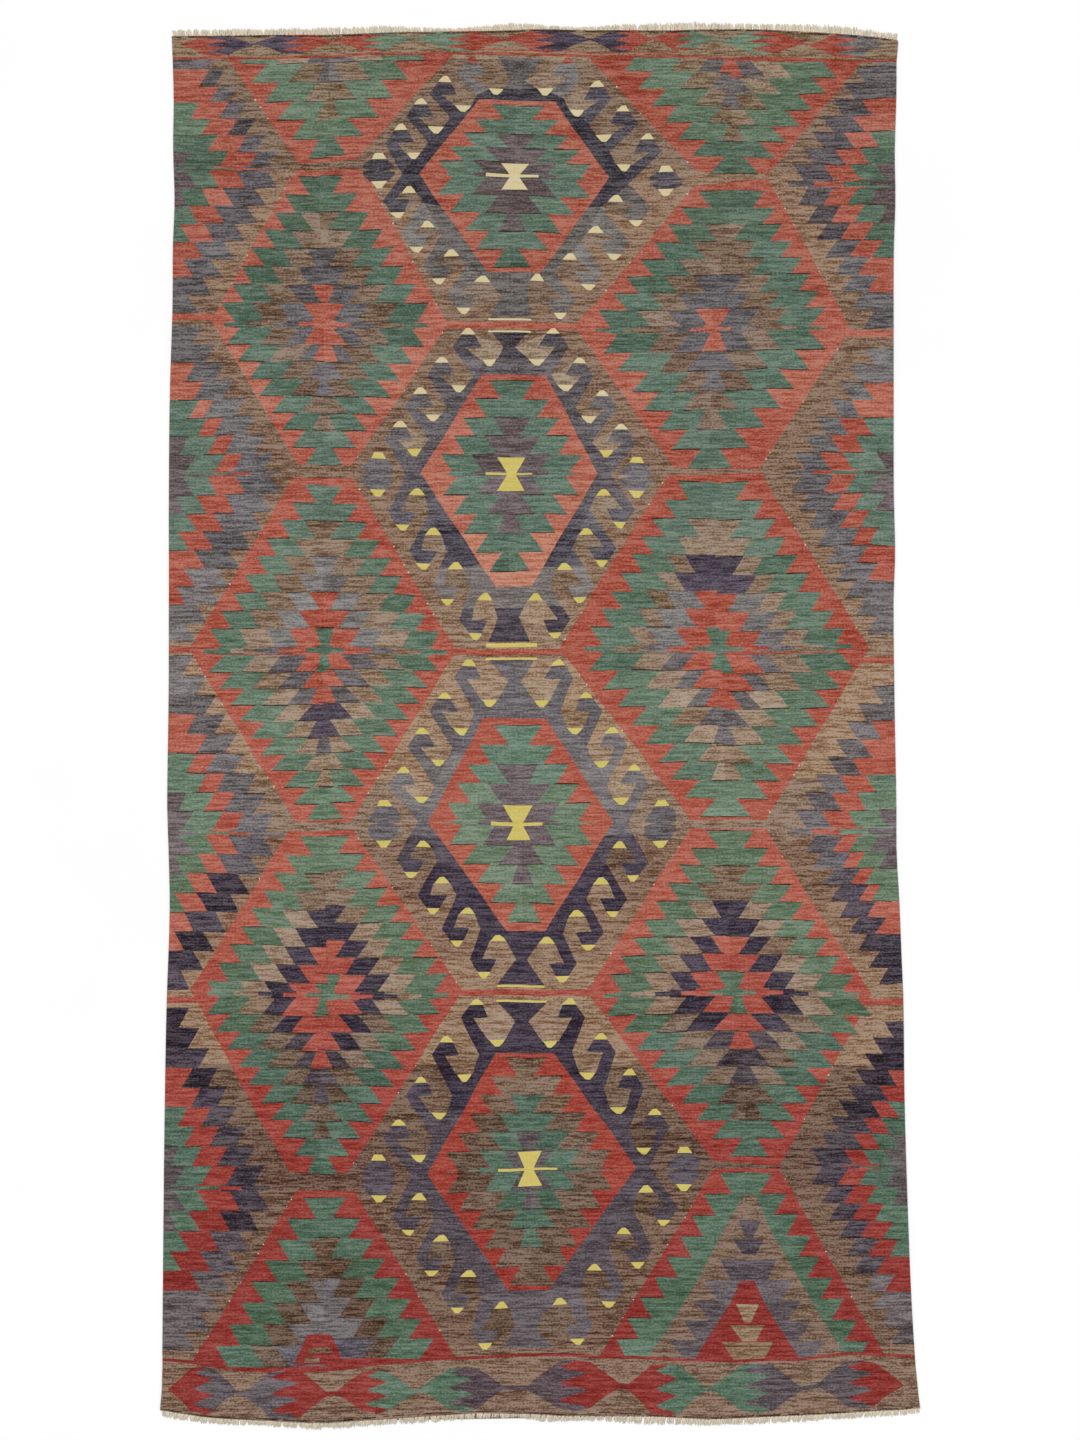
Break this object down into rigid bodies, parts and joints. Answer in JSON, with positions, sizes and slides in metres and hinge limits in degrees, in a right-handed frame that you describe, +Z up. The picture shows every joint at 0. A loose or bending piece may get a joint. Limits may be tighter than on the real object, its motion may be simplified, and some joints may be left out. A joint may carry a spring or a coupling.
{
  "type": "kilim rug",
  "caption": "Flat-woven wool rug with rows of serrated and hooked diamond medallions and a short knotted fringe of warp ends at each end; lies flat on a floor.",
  "frame": {"origin": "on the floor, under the middle of the rug's bounding box", "axes": "+Z up, +Y along the rug's length towards the upper end in the picture, +X across its width"},
  "size_m": [1.622, 2.9984, 0.003],
  "materials": {
    "wool_weft": "matt flat-woven wool",
    "undyed_warp": "matt twisted yarn"
  },
  "bodies": {
    "root": {"kilim_cloth": "wool_weft", "fringe_upper": "undyed_warp", "fringe_lower": "undyed_warp"}
  },
  "joints": []
}
